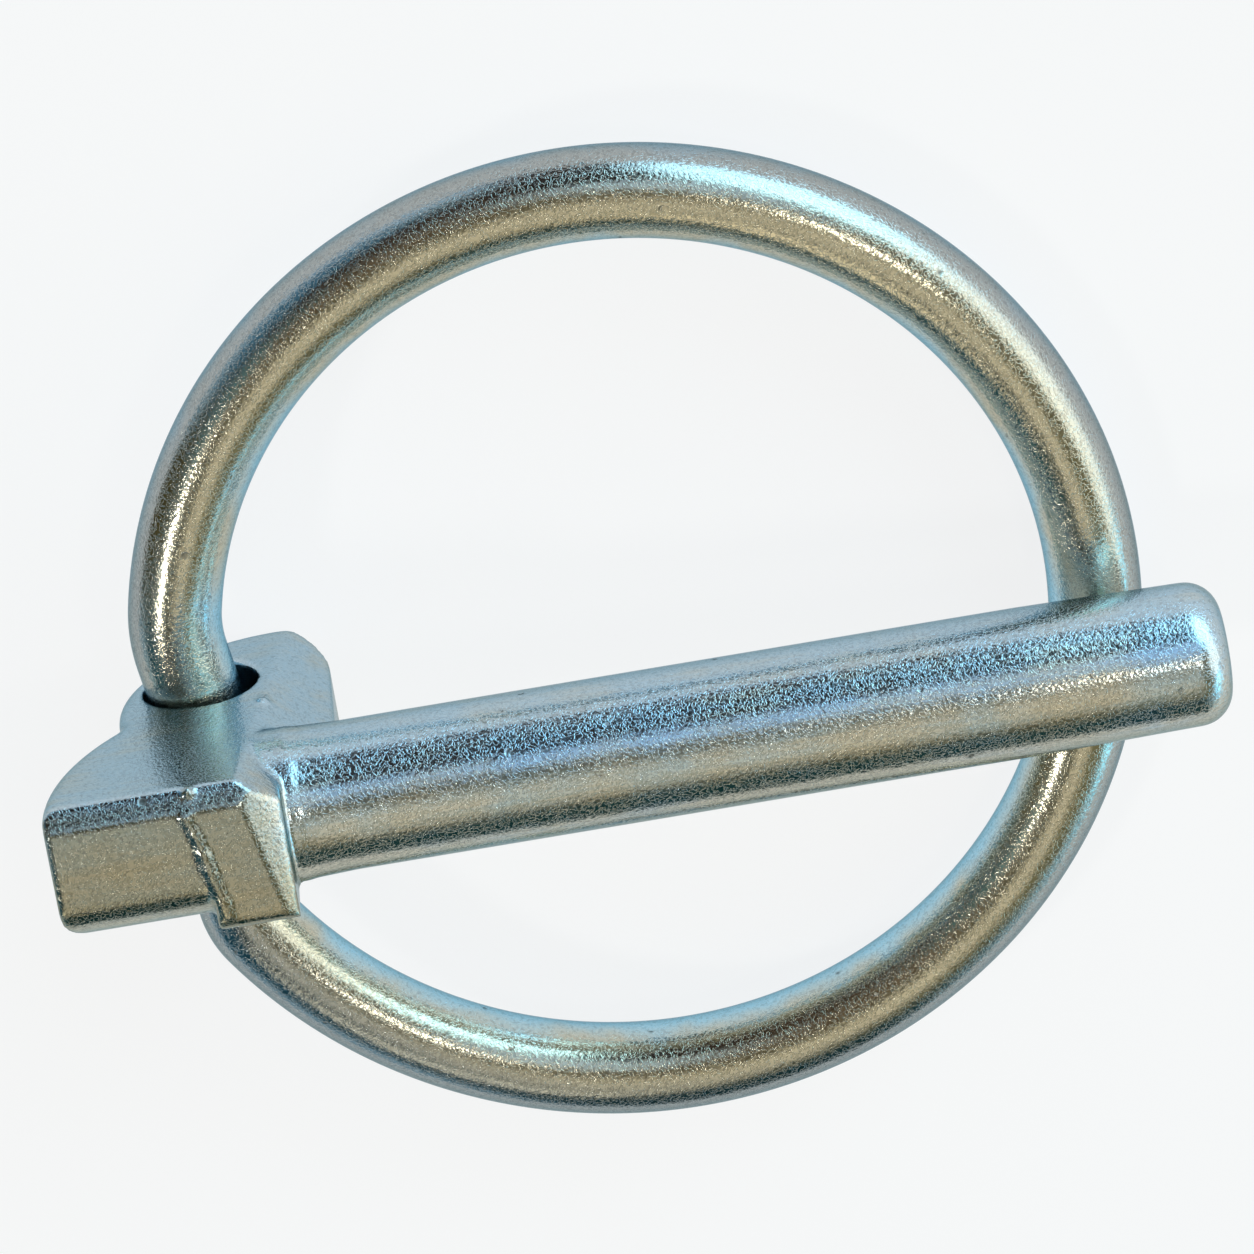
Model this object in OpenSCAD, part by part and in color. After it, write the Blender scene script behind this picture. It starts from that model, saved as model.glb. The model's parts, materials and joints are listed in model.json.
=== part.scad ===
// Lynch pin: a forged locking pin with a flat thumb head, and a sprung wire ring
// that swings in a bore through the head and snaps down behind the shank.
// Each module draws the shank along +X from the shoulder; lie() then lays it down.

/* [Shank] */
// Diameter of the shank
shank_d = 6; // [5:0.1:7]
// Length from the shoulder to where the lead-in taper begins
shank_straight = 30; // [22:0.5:34]
// Length of the lead-in taper
taper_len = 6.6; // [3:0.1:8]
// Diameter at the small end of the taper
taper_d = 5.8; // [4.8:0.05:5.8]
// Length of the rounded end
tip_len = 1.4; // [0.8:0.1:2]
// Length of the slightly swollen root, which the toe stands beside
root_len = 2.4; // [1.8:0.1:3.2]
// Swell of the root's radius where it leaves the shoulder
root_swell = 0.06; // [0.02:0.01:0.08]

/* [Head] */
// Thickness of the head along the bore
head_thick = 6.2; // [5:0.1:7.4]
// Radius of the thumb lobe, seen along the bore
thumb_r = 11; // [9.5:0.1:13]
// Distance from the shoulder back to the end of the thumb lobe
thumb_back = 9.35; // [8:0.05:11]
// Height of the thumb lobe's centre above the shank's axis
thumb_rise = 4.2; // [3.6:0.1:4.6]
// Height of the flat face above the shank's axis
face_rise = 4.6; // [4:0.1:5.4]
// Radius of the eye that the ring passes through
eye_r = 6.6; // [6:0.1:7.4]
// Drop of the eye's centre below the shank's axis
eye_drop = 5; // [4.4:0.1:5.6]
// Radius of the hollow between the thumb lobe and the eye
waist_r = 1.4; // [0.6:0.1:2.4]
// Reach of the toe under the shank, in front of the shoulder
toe_reach = 2.3; // [1.6:0.1:2.8]
// Corner radius of the toe
toe_r = 2; // [1.2:0.1:2.6]
// Width of the chamfer along the flat face's upper edge
face_chamfer = 0.9; // [0.4:0.05:1.2]
// Depth of that chamfer
chamfer_depth = 0.55; // [0.3:0.05:1]
// Rounding along the thumb tab's lower edge
tab_round = 2.1; // [1:0.1:2.8]
// Rounding along the other edges
edge_round = 0.6; // [0.3:0.05:0.9]
// Step at the parting line on the rounded side, where the dies didn't quite match
die_step = 0.3; // [0.1:0.05:0.5]
// Distance of the parting line behind the shoulder
seam_back = 3.25; // [2.6:0.05:4]
// Height of the flash left on the parting line
flash_height = 0.12; // [0.06:0.01:0.2]
// Width of the flash
flash_w = 0.35; // [0.2:0.05:0.6]

/* [Shoulder bevels] */
// Distance of the side bevel's edge behind the shoulder, over the shank's axis
side_bevel_back = 0.93; // [0.6:0.01:1.4]
// Turn of the side bevel's edge away from square
side_bevel_turn = 8.9; // [4:0.1:14]
// Fall of the side bevel
side_bevel_fall = 38; // [28:1:48]
// Distance of the face bevel's edge behind the shoulder, at mid thickness
face_bevel_back = 1.08; // [0.8:0.01:1.5]
// Lean of the face bevel's edge
face_bevel_lean = 12.1; // [4:0.1:18]
// Fall of the face bevel
face_bevel_fall = 62; // [50:1:72]

/* [Ring] */
// Diameter of the spring wire
wire_d = 3.8; // [3:0.1:4.2]
// Radial clearance between the wire and the bore
bore_clearance = 0.45; // [0.3:0.05:0.6]
// Distance of the bore behind the shoulder, at mid thickness
bore_back = 2.45; // [2.2:0.05:2.8]
// Drop of the bore below the shank's axis
bore_drop = 6.69; // [6.3:0.01:7.2]
// Lean of the bore away from square with the shank
bore_lean = 8; // [0:0.5:10]
// Distance that the wire sits behind the bore's centre
wire_set_back = 0.3; // [0:0.05:0.35]
// Mid-line radius of the ring's upper and outer arc
ring_r = 18.65; // [18.2:0.05:20]
// Distance of that arc's centre in front of the shoulder
ring_front = 14.95; // [14.5:0.05:15.5]
// Offset of that arc's centre to the side
ring_side = 2.7; // [1:0.05:3]
// Mid-line radius of the ring's lower arc
lower_r = 19.55; // [19:0.05:20.4]
// Direction in which the two arcs meet
meet_turn = -4; // [-20:1:10]
// Mid-line radius of the bend into the upper leg
upper_bend_r = 6; // [4:0.1:8]
// Straight length of the lower leg outside the head
leg_clear = 0.35; // [0.2:0.05:0.8]
// Mid-line radius of the lower leg's first bend, which swings it out behind the bore
out_bend_r = 3; // [2.6:0.1:4]
// Mid-line radius of the lower leg's second bend, which brings it into the ring's curve
lower_bend_r = 3; // [2.6:0.1:5]
// Depth of each leg's end inside the bore
leg_depth = 2.4; // [1.5:0.1:2.9]
// Gap between the closed ring and the shank
shank_gap = 0.1; // [0.05:0.01:0.3]

/* [Hidden] */
$fn = 96;
finish = [0.55, 0.57, 0.50];
wire_finish = [0.58, 0.56, 0.47];
root_in = 0.5;

shank_r = shank_d / 2;
root_r = shank_r + root_swell * (root_len + root_in) / root_len;
taper_r = taper_d / 2;
taper_end = shank_straight + taper_len;
half_thick = head_thick / 2;
wire_r = wire_d / 2;
bore_r = wire_r + bore_clearance;
tab_side = die_step - half_thick;
far = 60;
spare = 1;
join_len = 0.4;
join_short = 0.1;
join_full = 0.05;

// The eye and the toe's corner touch at the eye's lowest point
eye_low = eye_drop + eye_r;
toe_round_x = toe_reach - toe_r;
toe_top = 0.7 * shank_r;
toe_round_z = -(eye_low - toe_r);
eye_x = toe_round_x;

// Waist hollow: a circle that only just cuts into the thumb lobe and the eye
waist_bite = 0.02;
thumb_c = [thumb_r - thumb_back, thumb_rise];
eye_c = [eye_x, -eye_drop];
centre_gap = norm(eye_c - thumb_c);
centre_dir = atan2(eye_c[1] - thumb_c[1], eye_c[0] - thumb_c[0]);
to_thumb = thumb_r + waist_r - waist_bite;
to_eye = eye_r + waist_r - waist_bite;
waist_turn = acos((to_thumb ^ 2 + centre_gap ^ 2 - to_eye ^ 2) / (2 * to_thumb * centre_gap));
waist_c = thumb_c + to_thumb * [cos(centre_dir - waist_turn), sin(centre_dir - waist_turn)];

// The ring's plane runs through the bore and just under the shank
pivot_x = -bore_back - wire_set_back;
under_shank = -(shank_r + wire_r + shank_gap);
far_x = ring_front + ring_r;
ring_pitch = atan((under_shank + bore_drop) / (far_x - pivot_x));

// Arc centres and the legs' line, in the ring's own plane with the bore at its origin
main_c = [ring_front - pivot_x, ring_side];
meet_dir = [cos(meet_turn), sin(meet_turn)];
lower_c = main_c - (lower_r - ring_r) * meet_dir;
leg_dir = [-sin(bore_lean), cos(bore_lean)];
leg_out = [cos(bore_lean), sin(bore_lean)];

function heading(from, to) = atan2(to[1] - from[1], to[0] - from[0]);
function polar(r, turn) = r * [cos(turn), sin(turn)];

// Upper leg: one bend, which touches the legs' line and the upper arc
upper_start = main_c * leg_dir + sqrt((ring_r - upper_bend_r) ^ 2 - (main_c * leg_out - upper_bend_r) ^ 2);
upper_c = upper_start * leg_dir + upper_bend_r * leg_out;
upper_turn = heading(main_c, upper_c);

// Lower leg: a bend out, then a bend in, which touches the first one and the lower arc
lower_start = -(half_thick + leg_clear) / cos(bore_lean);
out_bend_c = lower_start * leg_dir - out_bend_r * leg_out;
to_arc = lower_r - lower_bend_r;
to_bend = out_bend_r + lower_bend_r;
bend_gap = norm(out_bend_c - lower_c);
lower_lean = acos((to_arc ^ 2 + bend_gap ^ 2 - to_bend ^ 2) / (2 * to_arc * bend_gap));
lower_turn = 360 + heading(lower_c, out_bend_c) + lower_lean;
lower_bend_c = lower_c + polar(to_arc, lower_turn);
swap_turn = heading(out_bend_c, lower_bend_c);

// Turn at which the eye's underside and the ring's far side touch one level
rest_run = far_x - eye_x;
rest_rise = eye_drop + under_shank;
lie_turn = asin((eye_r - wire_r) / norm([rest_run, rest_rise])) + atan2(rest_rise, rest_run);

// Lays the pin on its eye and ring, with the end of the root at the origin
module lie() rotate([0, lie_turn, 0]) translate([-root_len, 0, 0]) children();

// Places what follows the legs' line, in the ring's own plane
module in_ring_plane(x) translate([x, 0, -bore_drop]) rotate([0, -ring_pitch, 0]) children();

// What a rounding of radius r takes from the corner at (x, y), with spare outside it
module corner(x, y, r, to_x, to_y) {
    shift = (r - spare) / 2;
    difference() {
        translate([x + to_x * shift, y + to_y * shift]) square(r + spare, center = true);
        translate([x + to_x * r, y + to_y * r]) circle(r, $fn = 24);
    }
}

// Strip from the line x = 0 out to reach, as wide as the head, with both far corners rounded
module rounded_strip(reach) {
    difference() {
        translate([0, -half_thick]) square([reach, head_thick]);
        corner(reach, half_thick, edge_round, -1, -1);
        corner(reach, -half_thick, edge_round, -1, 1);
    }
}

// Disc that lies along the bore, with a rounded rim at each face
module lobe(centre, r)
    translate([centre[0], 0, centre[1]]) rotate([90, 0, 0]) rotate_extrude() rounded_strip(r);

// Everything behind the plane x and below the level z
module behind(x, z) translate([x - far, -far, z - far]) cube([far, 2 * far, far]);

// Everything in front of an upright plane through the origin
module half_space() translate([0, -far, -far]) cube([far, 2 * far, 2 * far]);

// Hollow between the lobes, which opens out at each face as their rims do
module waist() {
    wide = waist_r + edge_round;
    flare = half_thick - edge_round;
    translate([waist_c[0], 0, waist_c[1]]) rotate([90, 0, 0])
        rotate_extrude()
            difference() {
                translate([0, -head_thick]) square([wide, 2 * head_thick]);
                translate([waist_r, -flare]) square([wide, 2 * flare]);
                translate([wide, flare]) circle(edge_round, $fn = 24);
                translate([wide, -flare]) circle(edge_round, $fn = 24);
            }
}

// Stop in front of the shoulder, rounded under and carried up beside the shank
module toe() {
    lobe([toe_round_x, toe_round_z], toe_r);
    translate([0, 0, toe_round_z]) linear_extrude(-toe_round_z - toe_top) rounded_strip(toe_reach);
}

// Thumb lobe over the eye, with the waist hollowed between them and the toe in front
module head_blank() {
    difference() {
        union() {
            intersection() {
                union() {
                    lobe(thumb_c, thumb_r);
                    rotate([90, 0, 0]) linear_extrude(head_thick, center = true)
                        polygon([thumb_c, waist_c, eye_c]);
                }
                behind(0, face_rise);
            }
            intersection() {
                lobe(eye_c, eye_r);
                behind(eye_x, -toe_top);
            }
        }
        waist();
    }
    toe();
}

// Carries a section across the head along it, between two planes
module along(from_x, to_x)
    translate([from_x, 0, 0]) rotate([90, 0, 90]) linear_extrude(to_x - from_x) children();

// Chamfer along the flat face's upper edge
module chamfer() {
    side = half_thick + spare;
    top = face_rise + spare;
    low = face_rise - chamfer_depth;
    inner = half_thick - face_chamfer;
    polygon([[inner, face_rise], [inner, top], [side, top], [side, low], [half_thick, low]]);
}

module flash() {
    translate([-seam_back, 0, face_rise])
        rotate([0, 0, face_bevel_lean])
            intersection() {
                translate([0, -half_thick + edge_round, flash_height - flash_w])
                    rotate([-90, 0, 0]) cylinder(h = head_thick - edge_round - face_chamfer, r = flash_w);
                translate([-far, -far, -far]) cube([2 * far, 2 * far, far + flash_height]);
            }
}

module head() {
    difference() {
        head_blank();
        along(-far, -seam_back) {
            corner(tab_side, face_rise, tab_round, 1, -1);
            translate([tab_side - spare, -far]) square([spare, 2 * far]);
        }
        along(-seam_back, far) corner(-half_thick, face_rise, edge_round, 1, -1);
        along(-far, far) chamfer();
        translate([-side_bevel_back, half_thick, 0])
            rotate([0, -side_bevel_turn, 0]) rotate([0, 0, 90 - side_bevel_fall]) half_space();
        translate([-face_bevel_back, 0, face_rise])
            rotate([0, 0, face_bevel_lean]) rotate([0, -face_bevel_fall, 0]) half_space();
    }
    flash();
}

// Straight pin, swollen a little where it comes out of the shoulder
module shank() {
    rotate([90, 0, 90]) {
        translate([0, 0, -bore_back]) cylinder(h = bore_back - root_in, r1 = shank_r, r2 = root_r);
        translate([0, 0, -root_in]) cylinder(h = root_in + root_len, r1 = root_r, r2 = shank_r);
        translate([0, 0, root_len]) cylinder(h = shank_straight - root_len, r = shank_r);
        translate([0, 0, shank_straight]) cylinder(h = taper_len, r1 = shank_r, r2 = taper_r);
        translate([0, 0, taper_end]) tip();
    }
}

// Rounded end: a quarter-round rim about a small flat
module tip() {
    rotate_extrude()
        union() {
            square([taper_r - tip_len, tip_len]);
            intersection() {
                translate([taper_r - tip_len, 0]) circle(tip_len);
                square([taper_r, tip_len]);
            }
        }
}

module pin() color(finish) lie() {
    difference() {
        union() {
            head();
            shank();
        }
        in_ring_plane(-bore_back)
            rotate([0, 0, bore_lean]) rotate([90, 0, 0]) cylinder(h = far, r = bore_r, center = true);
    }
}

// Part of a ring of wire, which stops just short of each end
module wire_arc(centre, r, from, to) {
    short = join_short / r * 180 / PI;
    translate([centre[0], centre[1], 0]) rotate([0, 0, from + short])
        rotate_extrude(angle = to - from - 2 * short) translate([r, 0]) circle(wire_r);
}

// Straight wire along the legs' line
module wire_leg(from, to)
    rotate([0, 0, bore_lean]) translate([0, from, 0]) rotate([-90, 0, 0]) cylinder(h = to - from, r = wire_r);

// Short straight length that joins two others, a hair fuller than they are
module wire_join(at, heading)
    translate([at[0], at[1], 0]) rotate([0, 0, heading]) rotate([0, 90, 0])
        cylinder(h = join_len, r = wire_r + join_full, center = true);

module ring() color(wire_finish) lie() in_ring_plane(pivot_x) {
    wire_leg(half_thick - leg_depth, upper_start - join_short);
    wire_join(upper_start * leg_dir, 90 + bore_lean);
    wire_arc(upper_c, upper_bend_r, upper_turn, 180 + bore_lean);
    wire_join(main_c + polar(ring_r, upper_turn), 90 + upper_turn);
    wire_arc(main_c, ring_r, meet_turn, upper_turn);
    wire_join(main_c + polar(ring_r, meet_turn), 90 + meet_turn);
    wire_arc(lower_c, lower_r, lower_turn - 360, meet_turn);
    wire_join(lower_c + polar(lower_r, lower_turn), 90 + lower_turn);
    wire_arc(lower_bend_c, lower_bend_r, 180 + swap_turn, lower_turn);
    wire_join(out_bend_c + polar(out_bend_r, swap_turn), 90 + swap_turn);
    wire_arc(out_bend_c, out_bend_r, swap_turn, bore_lean);
    wire_join(lower_start * leg_dir, 90 + bore_lean);
    wire_leg(lower_start + join_short, leg_depth - half_thick);
}

pin();
ring();
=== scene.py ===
import bpy, json, math
from mathutils import Matrix, Vector


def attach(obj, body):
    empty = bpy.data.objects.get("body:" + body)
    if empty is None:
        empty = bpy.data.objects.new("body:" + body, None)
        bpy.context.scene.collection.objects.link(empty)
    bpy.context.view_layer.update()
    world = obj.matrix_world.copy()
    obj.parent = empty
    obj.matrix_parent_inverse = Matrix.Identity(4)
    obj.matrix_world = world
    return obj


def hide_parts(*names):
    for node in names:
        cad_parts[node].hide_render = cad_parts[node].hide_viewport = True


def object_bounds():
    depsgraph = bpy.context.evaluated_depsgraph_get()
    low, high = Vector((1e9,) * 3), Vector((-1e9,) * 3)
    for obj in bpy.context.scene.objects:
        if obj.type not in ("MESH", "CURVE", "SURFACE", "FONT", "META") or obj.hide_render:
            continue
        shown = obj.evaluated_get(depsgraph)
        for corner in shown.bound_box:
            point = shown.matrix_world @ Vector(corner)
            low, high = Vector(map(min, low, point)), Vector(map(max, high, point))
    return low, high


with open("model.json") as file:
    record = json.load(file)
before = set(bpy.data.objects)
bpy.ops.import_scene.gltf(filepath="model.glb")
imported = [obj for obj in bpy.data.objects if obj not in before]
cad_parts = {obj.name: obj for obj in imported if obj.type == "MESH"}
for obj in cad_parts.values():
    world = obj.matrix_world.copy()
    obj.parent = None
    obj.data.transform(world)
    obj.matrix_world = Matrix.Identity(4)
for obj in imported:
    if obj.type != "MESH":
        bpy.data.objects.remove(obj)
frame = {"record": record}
cad_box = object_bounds()
scene = bpy.context.scene
scene.view_settings.view_transform = "Standard"
for old in [o for o in bpy.data.objects if o.type in {"LIGHT", "CAMERA"}]:
    bpy.data.objects.remove(old)

# ---------------------------------------------------------------------------
# The forged head: a flat plate of zinc-plated steel, with a thumb lobe above the
# shank and an eye below it. It is drop forged in one piece with the shank, so its
# edges are soft and a line of flash is left across its flat face.
# ---------------------------------------------------------------------------
MM = 0.001
half_thick = 3.1
thumb_centre, thumb_r = (1.65, 4.2), 11.0
eye_centre, eye_r = (0.3, -5.0), 6.6
waist_r, waist_bite = 1.4, 0.02
face_rise = 4.6
edge_round, tab_round, die_step = 0.6, 2.1, 0.3
toe_r, toe_reach, toe_top = 2.0, 2.3, -2.1
toe_centre = (eye_centre[0], eye_centre[1] - (eye_r - toe_r))
chamfer_wide, chamfer_deep = 0.9, 0.55
side_bevel_back, side_bevel_turn, side_bevel_fall = 0.93, math.radians(8.9), math.radians(38)
face_bevel_back, face_bevel_lean, face_bevel_fall = 1.08, math.radians(12.1), math.radians(62)
seam_back = 3.25
thumb_end_round = 1.3
bore_back, bore_drop, bore_r, bore_lean = 2.45, 6.69, 2.35, math.radians(8)
ring_pitch = math.radians(2.6619)
root_len = 2.4
past_all, past_side = 14, 6
bore_tool_len = 30
tolerance, merge_gap = 0.01, 0.0001

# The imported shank's axis says how far the pin is turned as it lies, and the packed
# origin is on that axis at the end of the shank's root.
shank_axis = frame["record"]["mounts"][0]["axis"]
lie_turn = math.atan2(-shank_axis[2], shank_axis[0])
lie = Matrix.Rotation(lie_turn, 4, "Y") @ Matrix.Translation((-root_len * MM, 0, 0))


def deselect_all():
    if bpy.context.object and bpy.context.object.mode != "OBJECT":
        bpy.ops.object.mode_set(mode="OBJECT")
    bpy.ops.object.select_all(action="DESELECT")


def pick(*pieces):
    """Selects pieces alone, with the first one active."""
    deselect_all()
    for piece in pieces:
        piece.select_set(True)
    bpy.context.view_layer.objects.active = pieces[0]


def edit(piece, choose=None):
    """Opens a piece for editing with the edges that choose accepts selected, or with all."""
    pick(piece)
    bpy.ops.object.mode_set(mode="EDIT")
    bpy.ops.mesh.select_mode(type="EDGE")
    bpy.ops.mesh.select_all(action="DESELECT" if choose else "SELECT")
    if choose:
        bpy.ops.object.mode_set(mode="OBJECT")
        points = [v.co.copy() for v in piece.data.vertices]
        for edge in piece.data.edges:
            edge.select = choose(points[edge.vertices[0]], points[edge.vertices[1]])
        bpy.ops.object.mode_set(mode="EDIT")


def round_edges(piece, choose, radius, segments):
    """Rounds the edges that choose accepts."""
    edit(piece, choose)
    bpy.ops.mesh.bevel(offset=radius, segments=segments, profile=0.5)
    bpy.ops.object.mode_set(mode="OBJECT")


def place(piece, turn):
    """Brings a piece from millimetres to metres, where it lies, in its own mesh."""
    pick(piece)
    piece.matrix_world = turn @ Matrix.Scale(MM, 4)
    bpy.ops.object.transform_apply(location=True, rotation=True, scale=True)


def round_bar(name, centre, radius, length, axis, sides=128):
    """Solid of a circle carried along an axis, centred on a point."""
    deselect_all()
    turn = Vector((0, 0, 1)).rotation_difference(Vector(axis)).to_euler()
    bpy.ops.mesh.primitive_cylinder_add(vertices=sides, radius=radius, depth=length,
                                        location=centre, rotation=turn)
    piece = bpy.context.object
    piece.name = piece.data.name = name
    bpy.ops.object.transform_apply(location=True, rotation=True, scale=True)
    return piece


def block(name, low, high):
    """Square-sided tool between two corners."""
    deselect_all()
    low, high = Vector(low), Vector(high)
    bpy.ops.mesh.primitive_cube_add(size=1, location=(low + high) / 2, scale=high - low)
    piece = bpy.context.object
    piece.name = piece.data.name = name
    bpy.ops.object.transform_apply(location=True, rotation=True, scale=True)
    return piece


def start_wire(name, point):
    """One vertex at a point, which spins and extrusions then draw into an outline."""
    deselect_all()
    bpy.ops.mesh.primitive_plane_add(size=1, location=(0, 0, 0))
    piece = bpy.context.object
    piece.name = piece.data.name = name
    bpy.ops.object.mode_set(mode="EDIT")
    bpy.ops.mesh.select_mode(type="VERT")
    bpy.ops.mesh.merge(type="CENTER")
    bpy.ops.transform.translate(value=point)
    return piece


def draw_line(step):
    """Carries the selected end straight on by a step."""
    bpy.ops.mesh.extrude_region_move(TRANSFORM_OT_translate={"value": step})


def draw_arc(centre, axis, turn, steps):
    """Carries the selected end round a centre."""
    bpy.ops.mesh.spin(steps=steps, angle=-turn, center=centre, axis=axis)


def end_point(piece):
    """Where the selected end of an outline stands, in millimetres."""
    piece.update_from_editmode()
    picked = [v.co for v in piece.data.vertices if v.select]
    return sum(picked, Vector()) / len(picked)


def draw_line_to(piece, target):
    """Carries the selected end straight to a point."""
    draw_line(Vector(target) - end_point(piece))


def tidy_normals():
    """Merges what meets, turns every face outwards and leaves edit mode."""
    bpy.ops.mesh.select_all(action="SELECT")
    bpy.ops.mesh.remove_doubles(threshold=merge_gap)
    bpy.ops.mesh.normals_make_consistent(inside=False)
    bpy.ops.object.mode_set(mode="OBJECT")


def thicken(step):
    """Closes a drawn outline and carries it into a solid."""
    bpy.ops.mesh.select_all(action="SELECT")
    bpy.ops.mesh.remove_doubles(threshold=merge_gap)
    bpy.ops.mesh.edge_face_add()
    draw_line(step)
    tidy_normals()


def cut_with(piece, tool):
    """Subtracts a tool solid, which is used up."""
    pick(piece)
    step = piece.modifiers.new("cut", "BOOLEAN")
    step.operation, step.object, step.solver = "DIFFERENCE", tool, "EXACT"
    bpy.ops.object.modifier_apply(modifier=step.name)
    bpy.data.objects.remove(tool)


def shave(piece, point, normal):
    """Takes off everything beyond a plane, and closes the cut."""
    edit(piece)
    bpy.ops.mesh.bisect(plane_co=point, plane_no=normal, clear_outer=True, use_fill=True)
    bpy.ops.object.mode_set(mode="OBJECT")


def corner_cutter(name, from_x, to_x, y, radius):
    """What a rounding takes off the flat face's lower edge between two stations."""
    z = face_rise
    tool = start_wire(name, (from_x, y, z - radius))
    draw_arc((from_x, y + radius, z - radius), (1, 0, 0), -math.pi / 2, 16)
    for corner in ((y + radius, z + 1), (y - 1, z + 1), (y - 1, z - radius)):
        draw_line_to(tool, (from_x, *corner))
    thicken((to_x - from_x, 0, 0))
    return tool


def bearing_of(start, end):
    """Which way one point lies from another, in the drawing's plane."""
    return math.atan2(end[1] - start[1], end[0] - start[0])


def corner_of(base, near, far):
    """Angle at one end of a triangle's base, from its side there and its other side."""
    return math.acos((near ** 2 + base ** 2 - far ** 2) / (2 * near * base))


# The plate's outline runs from the flat face's far end, down the thumb lobe, in
# through the waist, round the eye and the toe, and back up the shoulder.
to_thumb = thumb_r + waist_r - waist_bite
to_eye = eye_r + waist_r - waist_bite
waist_turn = bearing_of(thumb_centre, eye_centre) - corner_of(
    math.dist(thumb_centre, eye_centre), to_thumb, to_eye)
waist_centre = (
    thumb_centre[0] + to_thumb * math.cos(waist_turn),
    thumb_centre[1] + to_thumb * math.sin(waist_turn),
)
face_end = thumb_centre[0] - math.sqrt(thumb_r ** 2 - (face_rise - thumb_centre[1]) ** 2)
from_face = bearing_of(thumb_centre, (face_end, face_rise))
thumb_sweep = (waist_turn - from_face) % (2 * math.pi)
waist_to_eye = bearing_of(waist_centre, eye_centre)
waist_sweep = (bearing_of(waist_centre, thumb_centre) - waist_to_eye) % (2 * math.pi)
eye_sweep = (-math.pi / 2 - bearing_of(eye_centre, waist_centre)) % (2 * math.pi)

head = start_wire("forging", (face_end, -half_thick, face_rise))
for (x, z), turn_y, sweep, steps in ((thumb_centre, -1, thumb_sweep, 48), (waist_centre, 1, waist_sweep, 16),
                                     (eye_centre, -1, eye_sweep, 60), (toe_centre, -1, math.pi / 2, 16)):
    draw_arc((x, -half_thick, z), (0, turn_y, 0), sweep, steps)
for x, z in ((toe_reach, toe_top), (0, toe_top), (0, face_rise)):
    draw_line_to(head, (x, -half_thick, z))
thicken((0, 2 * half_thick, 0))


def on_a_rim(a, b):
    """The plate's rims, but not along its flat face or the shoulder that the shank covers."""
    on_a_side = abs(a.y - b.y) < tolerance
    below_the_face = min(a.z, b.z) < face_rise - tolerance
    on_the_shoulder = (max(a.x, b.x) > -tolerance and max(a.z, b.z) > toe_top - tolerance
                       and min(a.x, b.x) < toe_reach - tolerance)
    return on_a_side and below_the_face and not on_the_shoulder


round_edges(head, on_a_rim, edge_round, 5)

tab_side = die_step - half_thick
cut_with(head, corner_cutter("tab_edge", -past_all, -seam_back, tab_side, tab_round))
cut_with(head, block("die_mismatch", (-past_all, -past_side, -past_all), (-seam_back, tab_side, past_all)))
corner_bite, corner_wide, corner_tall = 0.02, 3, 6
corner_x = thumb_centre[0] - thumb_r + thumb_end_round + corner_bite
corner_y = tab_side + thumb_end_round + corner_bite
end_corner = block("end_corner", (corner_x - corner_wide, corner_y - corner_wide, 0),
                   (corner_x, corner_y, corner_tall))
cut_with(end_corner, round_bar("end_round", (corner_x, corner_y, corner_tall / 2), thumb_end_round,
                               corner_tall + 2, (0, 0, 1)))
cut_with(head, end_corner)
cut_with(head, corner_cutter("collar_edge", -seam_back, 2, -half_thick, edge_round))
shave(head, (0, half_thick, face_rise - chamfer_deep), (0, chamfer_deep, chamfer_wide))
side_bevel = (
    Matrix.Rotation(-side_bevel_turn, 3, "Y") @ Matrix.Rotation(math.pi / 2 - side_bevel_fall, 3, "Z")
)
shave(head, (-side_bevel_back, half_thick, 0), side_bevel @ Vector((1, 0, 0)))
face_bevel = Matrix.Rotation(face_bevel_lean, 3, "Z") @ Matrix.Rotation(-face_bevel_fall, 3, "Y")
shave(head, (-face_bevel_back, 0, face_rise), face_bevel @ Vector((1, 0, 0)))
bore_axis = Matrix.Rotation(-ring_pitch, 3, "Y") @ Matrix.Rotation(bore_lean, 3, "Z") @ Vector((0, 1, 0))
bore_centre = (-bore_back, 0, -bore_drop)
cut_with(head, round_bar("bore", bore_centre, bore_r, bore_tool_len, bore_axis))

# ---------------------------------------------------------------------------
# The shank: a round steel pin with a short swollen root, a slight lead-in taper and
# a rounded end. It is forged in one with the head, and the plating runs over both.
# ---------------------------------------------------------------------------
shank_r, root_r, taper_r = 3.0, 3.1, 2.9
straight_end, taper_end, tip_len = 30.0, 36.6, 1.4
flare_len, flare_rise, inside_len = 0.8, 0.18, 1
skin_voxel = 0.132

shank = start_wire("shank_turning", (-inside_len, 0, 0))
draw_line_to(shank, (-inside_len, root_r, 0))
draw_line_to(shank, (0, root_r, 0))
for x in (0.4, 0.8, 1.2, 1.8, root_len):
    swell = (root_r - shank_r) * (1 - x / root_len) + flare_rise * max(0, 1 - x / flare_len) ** 2
    draw_line_to(shank, (x, shank_r + swell, 0))
draw_line_to(shank, (straight_end, shank_r, 0))
draw_line_to(shank, (taper_end, taper_r, 0))
draw_arc((taper_end, taper_r - tip_len, 0), (0, 0, 1), -math.pi / 2, 10)
draw_line_to(shank, (taper_end + tip_len, 0, 0))
bpy.ops.mesh.select_all(action="SELECT")
bpy.ops.mesh.spin(steps=160, angle=2 * math.pi, center=(0, 0, 0), axis=(1, 0, 0))
tidy_normals()
cut_with(shank, round_bar("shank_bore", bore_centre, bore_r, bore_tool_len, bore_axis))


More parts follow.
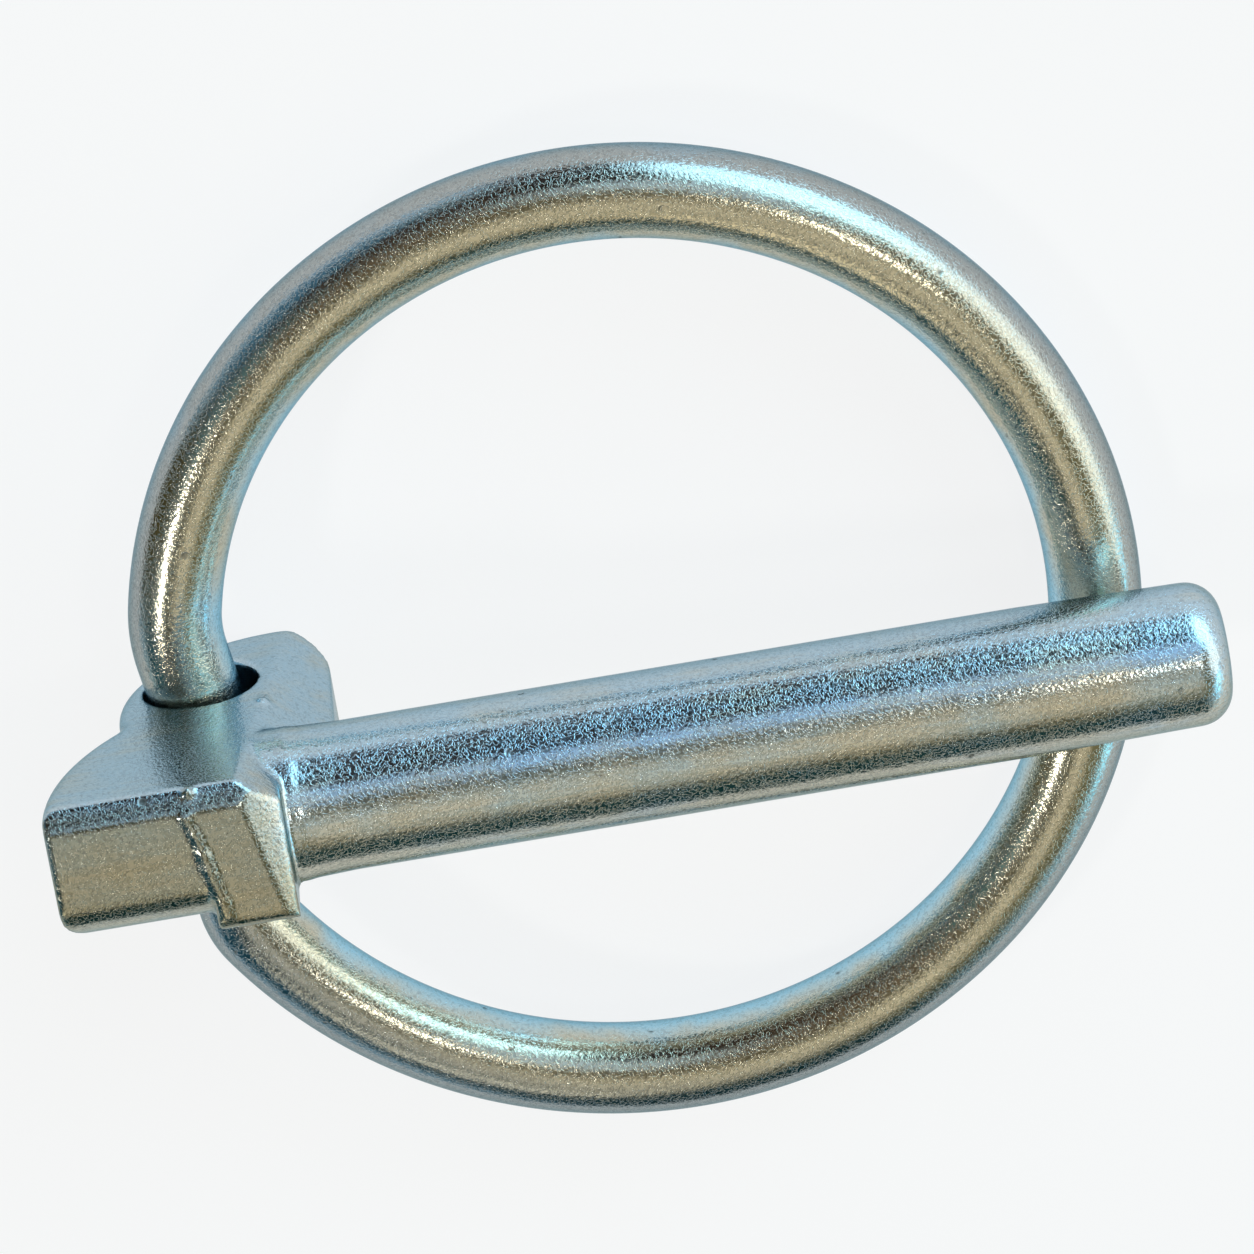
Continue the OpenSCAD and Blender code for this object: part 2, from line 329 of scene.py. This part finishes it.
def uneven(piece, amount, step, seed):
    """Pushes each point of a piece about, the same way every run."""
    pick(piece)
    shift = piece.modifiers.new("uneven", "DISPLACE")
    shift.texture = bpy.data.textures.new(piece.name + "_lumps", "CLOUDS")
    shift.texture.noise_scale = step
    shift.texture_coords, shift.strength, shift.mid_level = "LOCAL", amount, 0.5 + 0.01 * seed
    bpy.ops.object.modifier_apply(modifier=shift.name)


# The dies left an uneven ridge of flash across the flat face, and a few burrs where it
# was trimmed from the shoulder's side.
flash_r, flash_sunk, flash_cuts = 0.28, 0.12, 40
flash_long = 2 * half_thick - edge_round - chamfer_wide
flash_way = Matrix.Rotation(face_bevel_lean, 3, "Z") @ Vector((0, 1, 0))
flash_start = Vector((-seam_back, 0, face_rise - flash_sunk)) - flash_way * (half_thick - edge_round)
flash = round_bar("flash", flash_start + flash_way * flash_long / 2, flash_r, flash_long, flash_way, 24)
edit(flash)
bpy.ops.mesh.bisect(plane_co=flash_start, plane_no=flash_way)
for k in range(1, flash_cuts):
    bpy.ops.mesh.select_all(action="SELECT")
    cut_at = flash_start + flash_way * flash_long * k / flash_cuts
    bpy.ops.mesh.bisect(plane_co=cut_at, plane_no=flash_way)
bpy.ops.object.mode_set(mode="OBJECT")
uneven(flash, amount=0.22, step=0.5, seed=1)
burrs, burr_sunk = [], 0.1
for k, (x, z, size) in enumerate((
        (-0.42, -3.45, 0.17), (-0.36, -3.8, 0.24), (-0.28, -4.2, 0.18), (-3.5, 4.2, 0.2))):
    deselect_all()
    bpy.ops.mesh.primitive_ico_sphere_add(subdivisions=3, radius=size,
                                          location=(x, half_thick - burr_sunk, z))
    burr = bpy.context.object
    burr.name = burr.data.name = "burr_%d" % k
    bpy.ops.object.transform_apply(location=True, rotation=True, scale=True)
    uneven(burr, amount=0.2, step=0.15, seed=k)
    burrs.append(burr)

# Head and shank become one skin, whose corners are softened as the hammer and the
# plating leave them.
pick(head, shank, flash, *burrs)
bpy.ops.object.join()
skin = head.modifiers.new("skin", "REMESH")
skin.mode, skin.voxel_size, skin.use_smooth_shade = "VOXEL", skin_voxel, True
bpy.ops.object.modifier_apply(modifier=skin.name)
soften = head.modifiers.new("soften", "SMOOTH")
soften.factor, soften.iterations = 0.5, 3
bpy.ops.object.modifier_apply(modifier=soften.name)
place(head, lie)


class Shade:
    """A shader value, which adds its own Math nodes as Python works on it."""

    def __init__(self, finish, socket):
        self.finish, self.socket = finish, socket

    def work(self, operation, *values):
        """Adds one Math node."""
        made = self.finish.add("ShaderNodeMath", {"operation": operation}, dict(enumerate(values)))
        return Shade(self.finish, made.outputs[0])

    def __add__(self, other):
        return self.work("ADD", self, other)

    def __sub__(self, other):
        return self.work("SUBTRACT", self, other)

    def __rsub__(self, other):
        return self.work("SUBTRACT", other, self)

    def __mul__(self, other):
        return self.work("MULTIPLY", self, other)

    def __truediv__(self, other):
        return self.work("DIVIDE", self, other)

    def __pow__(self, other):
        return self.work("POWER", self, other)

    __radd__, __rmul__ = __add__, __mul__

    def fade(self, low, high):
        """Rises smoothly from 0 at low to 1 at high."""
        made = self.finish.add("ShaderNodeMapRange", {"interpolation_type": "SMOOTHSTEP"},
                               {"Value": self, "From Min": low, "From Max": high})
        return Shade(self.finish, made.outputs[0])


class Finish:
    """A node tree under construction."""

    def __init__(self, tree):
        self.tree = tree
        tree.nodes.clear()

    def add(self, kind, settings, inputs):
        """Adds a node: its settings first, then the values or links of its sockets."""
        made = self.tree.nodes.new(kind)
        for name, value in settings.items():
            setattr(made, name, value)
        for name, value in inputs.items():
            socket = value.socket if isinstance(value, Shade) else value
            if isinstance(socket, bpy.types.NodeSocket):
                self.tree.links.new(socket, made.inputs[name])
            else:
                made.inputs[name].default_value = value
        return made

    def mix(self, factor, first, second):
        """Goes from one colour to another as the factor goes from 0 to 1."""
        first, second = [(*c, 1) if isinstance(c, tuple) else c for c in (first, second)]
        return self.add("ShaderNodeMix", {"data_type": "RGBA"}, {0: factor, 6: first, 7: second}).outputs[2]

    def noise(self, where, scale, detail, roughness, distortion=0):
        """Cloudy noise, from 0 to 1, with so many clouds to a metre."""
        made = self.add("ShaderNodeTexNoise", {}, {"Vector": where, "Scale": scale, "Detail": detail,
                                                   "Roughness": roughness, "Distortion": distortion})
        return Shade(self, made.outputs[0])

    def cells(self, where, scale):
        """How far a point is from the middle of the nearest of many scattered cells."""
        made = self.add("ShaderNodeTexVoronoi", {}, {"Vector": where, "Scale": scale, "Randomness": 1})
        return Shade(self, made.outputs["Distance"])

    def stretch(self, where, scale, turn=(0, 0, 0)):
        """A point's place in a turned and scaled frame."""
        made = self.add("ShaderNodeMapping", {}, {"Vector": where, "Rotation": turn, "Scale": scale})
        return made.outputs[0]

    def parts(self, where):
        """A point's x, y and z."""
        made = self.add("ShaderNodeSeparateXYZ", {}, {"Vector": where})
        return [Shade(self, made.outputs[k]) for k in range(3)]


def zinc_plating(name, warm, cool, painted_reflection_by, streak_scale, painted_shade_by):
    """Bright zinc with a thin, uneven chromate film, olive-gold in one place and blue in another, with a
    painted reflection, painted shade and a painted glint laid into its colour.
    """
    # Colours of a painted glint and painted shade for the grain, and of the pinholes' dark insides.
    painted_glint, shadow, pit_dark = (0.86, 0.86, 0.80), (0.12, 0.12, 0.10), (0.05, 0.042, 0.03)
    grazing_tint = (0.40, 0.52, 0.56, 1)
    film_scale, clump_scale, grain_scale, bead_scale, pit_scale = 260, 1500, 6400, 6200, 620
    relief = 0.021
    material = bpy.data.materials.new(name)
    material.use_nodes = True
    finish = Finish(material.node_tree)
    own = finish.add("ShaderNodeTexCoord", {}, {}).outputs["Object"]
    where = finish.stretch(own, (1, 1, 1), (0, -lie_turn, 0))

    # Film colour: drifts between gold and blue over a few millimetres, in streaks, over a painted blue
    # reflection that goes by side.
    drift = finish.noise(where, film_scale, 2, 0.5, 0.4)
    streaks = finish.noise(finish.stretch(where, streak_scale), 1, 3, 0.6)
    blue = (painted_reflection_by(finish, where) + (drift - 0.5) * 1.1 + (streaks - 0.5) * 0.7).fade(0.1, 0.9)
    colour = finish.mix(blue, warm, cool)
    # Painted shade: some parts are darkened towards a duller colour.
    painted_shade_amount, painted_shade_colour = painted_shade_by(finish, where)
    colour = finish.mix(painted_shade_amount, colour, painted_shade_colour)
    # Crystals of zinc: fine, raised, worm-like grains, with a painted glint along each worm and painted
    # shade where the grain sinks.
    grain = finish.noise(where, grain_scale, 1, 0.5, 0.4)
    bead = finish.cells(where, bead_scale)
    worm = 1 - (grain - 0.5).work("ABSOLUTE", grain - 0.5).fade(0, 0.06)
    clumps = finish.noise(where, clump_scale, 2, 0.6)
    colour = finish.mix(worm * 0.12, colour, painted_glint)
    colour = finish.mix((0.46 - grain).fade(0, 0.16) * 0.22, colour, shadow)
    # Pinholes in the plating, sunk into the bump and darkened to a near-black brown inside.
    pit = (0.13 - finish.cells(where, pit_scale)).fade(0, 0.08) * clumps.fade(0.5, 0.62)
    colour = finish.mix(pit * 0.8, colour, pit_dark)

    height = worm * 0.20 + grain * 0.25 - bead * 0.32 + clumps * 0.25 + drift * 0.8 - pit * 1.2
    bump = finish.add("ShaderNodeBump", {}, {"Height": height, "Strength": 1.0, "Distance": relief * MM})
    surface = finish.add("ShaderNodeBsdfPrincipled", {}, {
        "Base Color": colour, "Metallic": 1.0, "Normal": bump.outputs[0], "Specular Tint": grazing_tint,
        "Roughness": 0.13 + clumps * 0.10 + pit * 0.3})
    finish.add("ShaderNodeOutputMaterial", {}, {"Surface": surface.outputs[0]})
    return material


def painted_blue_reflection_on_the_side(finish, where):
    """Painted reflection: the pin is coloured bluer towards +Y and warmer on the other side of the flat
    face.
    """
    return 0.42 + finish.parts(where)[1] * (0.35 / (half_thick * MM))


def painted_shade_on_the_face(finish, where):
    """Painted shade: the flat face is darkened towards a dull brown, fading in from 0.7 mm below it."""
    near_the_face = finish.parts(where)[2].fade((face_rise - 0.7) * MM, (face_rise - 0.2) * MM)
    return near_the_face * 0.6, (0.25, 0.23, 0.14)


head.data.materials.clear()
head.data.materials.append(zinc_plating("pin_zinc", (0.58, 0.55, 0.45), (0.44, 0.58, 0.68),
                                        painted_blue_reflection_on_the_side, (120, 1900, 1900), painted_shade_on_the_face))
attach(head, "pin")
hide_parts("pin")

# ---------------------------------------------------------------------------
# The ring: spring wire bent into a loop, whose two ends turn into the bore through the
# eye from either side. It swings there, and its spring snaps it down behind the shank.
# ---------------------------------------------------------------------------
wire_r, wire_set_back = 1.9, 0.3
ring_r, ring_front, ring_side = 18.65, 14.95, 2.7
lower_r, meet_turn = 19.55, math.radians(-4)
upper_bend_r, out_bend_r, lower_bend_r = 6.0, 3.0, 3.0
leg_clear, leg_depth, wire_end_round = 0.35, 2.4, 0.25
pivot_x = -bore_back - wire_set_back


def toward(turn, length=1.0):
    """A step in the ring's plane."""
    return Vector((math.cos(turn), math.sin(turn), 0)) * length


# The wire's mid-line is drawn flat, about the bore, and the ring is tipped afterwards.
leg_way, leg_side = toward(bore_lean + math.pi / 2), toward(bore_lean)
main_centre = Vector((ring_front - pivot_x, ring_side, 0))
lower_centre = main_centre - toward(meet_turn, lower_r - ring_r)
upper_start = main_centre.dot(leg_way) + math.sqrt(
    (ring_r - upper_bend_r) ** 2 - (main_centre.dot(leg_side) - upper_bend_r) ** 2)
upper_centre = leg_way * upper_start + leg_side * upper_bend_r
upper_turn = bearing_of(main_centre, upper_centre)
lower_start = -(half_thick + leg_clear) / math.cos(bore_lean)
out_centre = leg_way * lower_start - leg_side * out_bend_r
lower_turn = bearing_of(lower_centre, out_centre) + corner_of(
    (out_centre - lower_centre).length, lower_r - lower_bend_r, out_bend_r + lower_bend_r)
bend_centre = lower_centre + toward(lower_turn, lower_r - lower_bend_r)
swap_turn = bearing_of(out_centre, bend_centre)
leg_end = half_thick - leg_depth

deselect_all()
across_the_leg = Vector((0, 0, 1)).rotation_difference(leg_way).to_euler()
bpy.ops.mesh.primitive_circle_add(vertices=80, radius=wire_r, location=leg_way * leg_end,
                                  rotation=across_the_leg)
ring = bpy.context.object
ring.name = ring.data.name = "wire_ring"
bpy.ops.object.transform_apply(location=True, rotation=True, scale=True)
bpy.ops.object.mode_set(mode="EDIT")
bpy.ops.mesh.select_mode(type="EDGE")
bpy.ops.mesh.select_all(action="SELECT")
up = (0, 0, 1)
draw_line(leg_way * (upper_start - leg_end))
draw_arc(upper_centre, up, upper_turn - math.pi - bore_lean, 10)
draw_arc(main_centre, up, meet_turn - upper_turn, 150)
draw_arc(lower_centre, up, lower_turn - meet_turn, 130)
draw_arc(bend_centre, up, swap_turn - math.pi - lower_turn, 20)
draw_arc(out_centre, up, bore_lean - swap_turn, 12)
draw_line(leg_way * (-leg_end - lower_start))
bpy.ops.mesh.select_all(action="SELECT")
bpy.ops.mesh.remove_doubles(threshold=merge_gap)
bpy.ops.mesh.select_all(action="DESELECT")
bpy.ops.mesh.select_non_manifold()
bpy.ops.mesh.edge_face_add()
tidy_normals()


def on_a_wire_end(a, b):
    """The rims of the wire's two cut ends, which lie in the bore."""
    at_an_end = all(abs(abs(point.dot(leg_way)) - leg_end) < tolerance for point in (a, b))
    return at_an_end and a.x < 2 * wire_r


round_edges(ring, on_a_wire_end, wire_end_round, 3)
pick(ring)
bpy.ops.object.shade_smooth_by_angle(angle=math.radians(40))
ring_seat = lie @ Matrix.Translation(Vector((pivot_x, 0, -bore_drop)) * MM)
place(ring, ring_seat @ Matrix.Rotation(-ring_pitch, 4, "Y"))


mean_r = ring_r - 0.2


def across_the_wire(finish, where):
    """How far out from the wire's mid-line a point is, and how far above it, as shares of its radius."""
    x, y, z = finish.parts(where)
    x, y = x - (ring_front - root_len) * MM, y - ring_side * MM
    out = ((x * x + y * y) ** 0.5 - mean_r * MM) / (wire_r * MM)
    mid_height = (x + (ring_front - pivot_x) * MM) * math.tan(ring_pitch)
    above = (z + bore_drop * MM - mid_height) / (wire_r * MM)
    return out, above


def painted_blue_reflection_along_the_sides(finish, where):
    """Painted reflection: the wire is coloured gold along its top and blue along its sides, the inner one
    most of all.
    """
    out, above = across_the_wire(finish, where)
    return 0.78 - above * 0.95 - out * 0.22


def painted_shade_outside(finish, where):
    """Painted shade: the ring's outer side is darkened to a duller, greyer colour."""
    out, above = across_the_wire(finish, where)
    return out.fade(0.3, 1.0) * 0.6, (0.25, 0.31, 0.38)


ring.data.materials.clear()
ring.data.materials.append(zinc_plating("wire_zinc", (0.55, 0.515, 0.395), (0.36, 0.63, 0.78),
                                        painted_blue_reflection_along_the_sides, (300, 300, 300), painted_shade_outside))
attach(ring, "ring")
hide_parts("ring")

# ---------------------------------------------------------------------------
# The table: a sheet of matt white card that the pin lies on. It glows a little to the
# eye, so that it reads as white, and still keeps the pin's shadow.
# ---------------------------------------------------------------------------
sheet_size, glow_share = 4, 0.82

deselect_all()
bpy.ops.mesh.primitive_plane_add(size=sheet_size, location=(0, 0, cad_box[0][2]))
floor = bpy.context.object
floor.name = "floor"
paper = bpy.data.materials.new("paper")
paper.use_nodes = True
finish = Finish(paper.node_tree)
matt = finish.add("ShaderNodeBsdfDiffuse", {}, {"Color": (0.9, 0.9, 0.9, 1)}).outputs[0]
glow = finish.add("ShaderNodeEmission", {}, {"Color": (1, 1, 1, 1), "Strength": 1.0}).outputs[0]
path = finish.add("ShaderNodeLightPath", {}, {})
seen = Shade(finish, path.outputs["Is Camera Ray"])
for ray in ("Is Glossy Ray", "Is Transmission Ray"):
    seen = seen.work("MAXIMUM", seen, Shade(finish, path.outputs[ray]))
pale = finish.add("ShaderNodeMixShader", {}, {0: seen * glow_share, 1: matt, 2: glow})
finish.add("ShaderNodeOutputMaterial", {}, {"Surface": pale.outputs[0]})
floor.data.materials.append(paper)

# ---------------------------------------------------------------------------
# The studio, as soft boxes and black cards hung on a plan of the sky: overhead is its
# middle, and the horizon is the circle at 1, with +X to the right and +Y at the top.
# ---------------------------------------------------------------------------
world = bpy.data.worlds.new("studio")
scene.world = world
world.use_nodes = True
finish = Finish(world.node_tree)
way = finish.add("ShaderNodeTexCoord", {}, {}).outputs["Generated"]
x, y, z = finish.parts(way)
lowest_z = -0.5
drop = z.work("MAXIMUM", z, lowest_z) + 1
plan_x, plan_y = x / drop, y / drop


def soft_panel(sky, colour, centre, size, lean, edge):
    """Lays an oval of light or shade on the sky, with its edge faded."""
    along, across = math.cos(math.radians(lean)), math.sin(math.radians(lean))
    from_x, from_y = plan_x - centre[0], plan_y - centre[1]
    far_along = (from_x * along + from_y * across) / size[0]
    far_across = (from_y * along - from_x * across) / size[1]
    reach = (far_along * far_along + far_across * far_across) ** 0.5
    return finish.mix(1 - reach.fade(1 - edge, 1 + edge), sky, colour)


# The open sky goes from dim olive overhead to pale blue at the horizon. Each panel then
# has its colour, centre, half sizes, lean in degrees and softness, the later ones in front.
sky = finish.mix(((plan_x * plan_x + plan_y * plan_y) ** 0.5).fade(0.5, 0.85),
                 (0.17, 0.16, 0.11), (0.40, 0.64, 0.80))
for colour, centre, size, lean, edge in (
        ((0.60, 0.86, 1.10), (-0.48, 0.86), (0.42, 0.22), 30, 0.5),
        ((0.09, 0.25, 0.40), (-0.42, 0.38), (0.26, 0.30), 40, 0.5),
        ((0.12, 0.10, 0.04), (-0.78, 0.06), (0.36, 0.20), 0, 0.5),
        ((0.09, 0.23, 0.28), (-0.30, 0.11), (0.12, 0.12), 0, 0.5),
        ((0.01, 0.09, 0.14), (-0.40, -0.37), (0.34, 0.28), 0, 0.35),
        ((0.005, 0.05, 0.06), (0.05, -0.80), (0.30, 0.27), 0, 0.45),
        ((0.24, 0.23, 0.14), (0.30, -0.32), (0.22, 0.22), 0, 0.5),
        ((0.08, 0.055, 0.04), (-0.16, 0.42), (0.32, 0.15), 35, 0.4),
        ((0.16, 0.12, 0.08), (-0.13, 0.15), (0.12, 0.15), 0, 0.5),
        ((0.64, 0.87, 1.15), (0.14, 0.28), (0.15, 0.13), 0, 0.5),
        ((0.85, 0.80, 0.66), (0.07, -0.21), (0.12, 0.18), 0, 0.5),
        ((0.02, 0.05, 0.06), (-0.17, -0.29), (0.08, 0.06), 0, 0.4),
        ((1.50, 1.36, 1.05), (-0.11, -0.42), (0.11, 0.09), 0, 0.5),
        ((2.10, 3.70, 4.60), (0.42, 0.62), (0.47, 0.28), -40, 0.3),
        ((2.00, 2.10, 2.05), (0.72, 0.10), (0.26, 0.38), 0, 0.35),
        ((0.06, 0.03, 0.02), (0.00, 0.84), (0.17, 0.32), 0, 0.3),
        ((0.03, 0.015, 0.01), (0.04, 0.54), (0.15, 0.19), 0, 0.25),
        ((1.00, 2.60, 3.60), (0.80, -0.50), (0.24, 0.22), 0, 0.4)):
    sky = soft_panel(sky, colour, centre, size, lean, edge)
back = finish.add("ShaderNodeBackground", {}, {"Color": sky, "Strength": 1.0})
finish.add("ShaderNodeOutputWorld", {}, {"Surface": back.outputs[0]})

# Two round lamps, high on either side of the pin, cast its faint shadows on the card.
lamps_aim_at = Vector((12, 0, 0))


def soft_box(name, away, size, power, colour):
    """A round lamp, set so far away from the point that it lights."""
    deselect_all()
    away = Vector(away)
    bpy.ops.object.light_add(type="AREA", location=(lamps_aim_at + away) * MM,
                             rotation=(-away).to_track_quat("-Z", "Y").to_euler())
    lamp = bpy.context.object
    lamp.name = lamp.data.name = name
    lamp.data.shape, lamp.data.size = "DISK", size * MM
    lamp.data.energy, lamp.data.color = power, colour


soft_box("lamp_left", (-218, -58, 304), 56, 0.24, (1.0, 0.98, 0.93))
soft_box("lamp_right", (150, 45, 345), 60, 0.09, (1.0, 0.96, 0.86))

# The camera looks down on the pin through a long lens, and is turned and stood off
# against the shank's own frame.
camera_tip, camera_lean, camera_roll = math.radians(21.5), math.radians(0.23), math.radians(9.45)
camera_stand = Vector((13.6, 7.1, 284))
film_width, lens_in_widths = 36, 7121 / 1254
camera_data = bpy.data.cameras.new("camera")
camera = bpy.data.objects.new("camera", camera_data)
scene.collection.objects.link(camera)
scene.camera = camera
camera_data.sensor_width, camera_data.lens = film_width, film_width * lens_in_widths
camera.matrix_world = (
    lie @ Matrix.Rotation(-camera_tip, 4, "X") @ Matrix.Rotation(-camera_lean, 4, "Y")
    @ Matrix.Rotation(-camera_roll, 4, "Z") @ Matrix.Translation(camera_stand * MM)
)
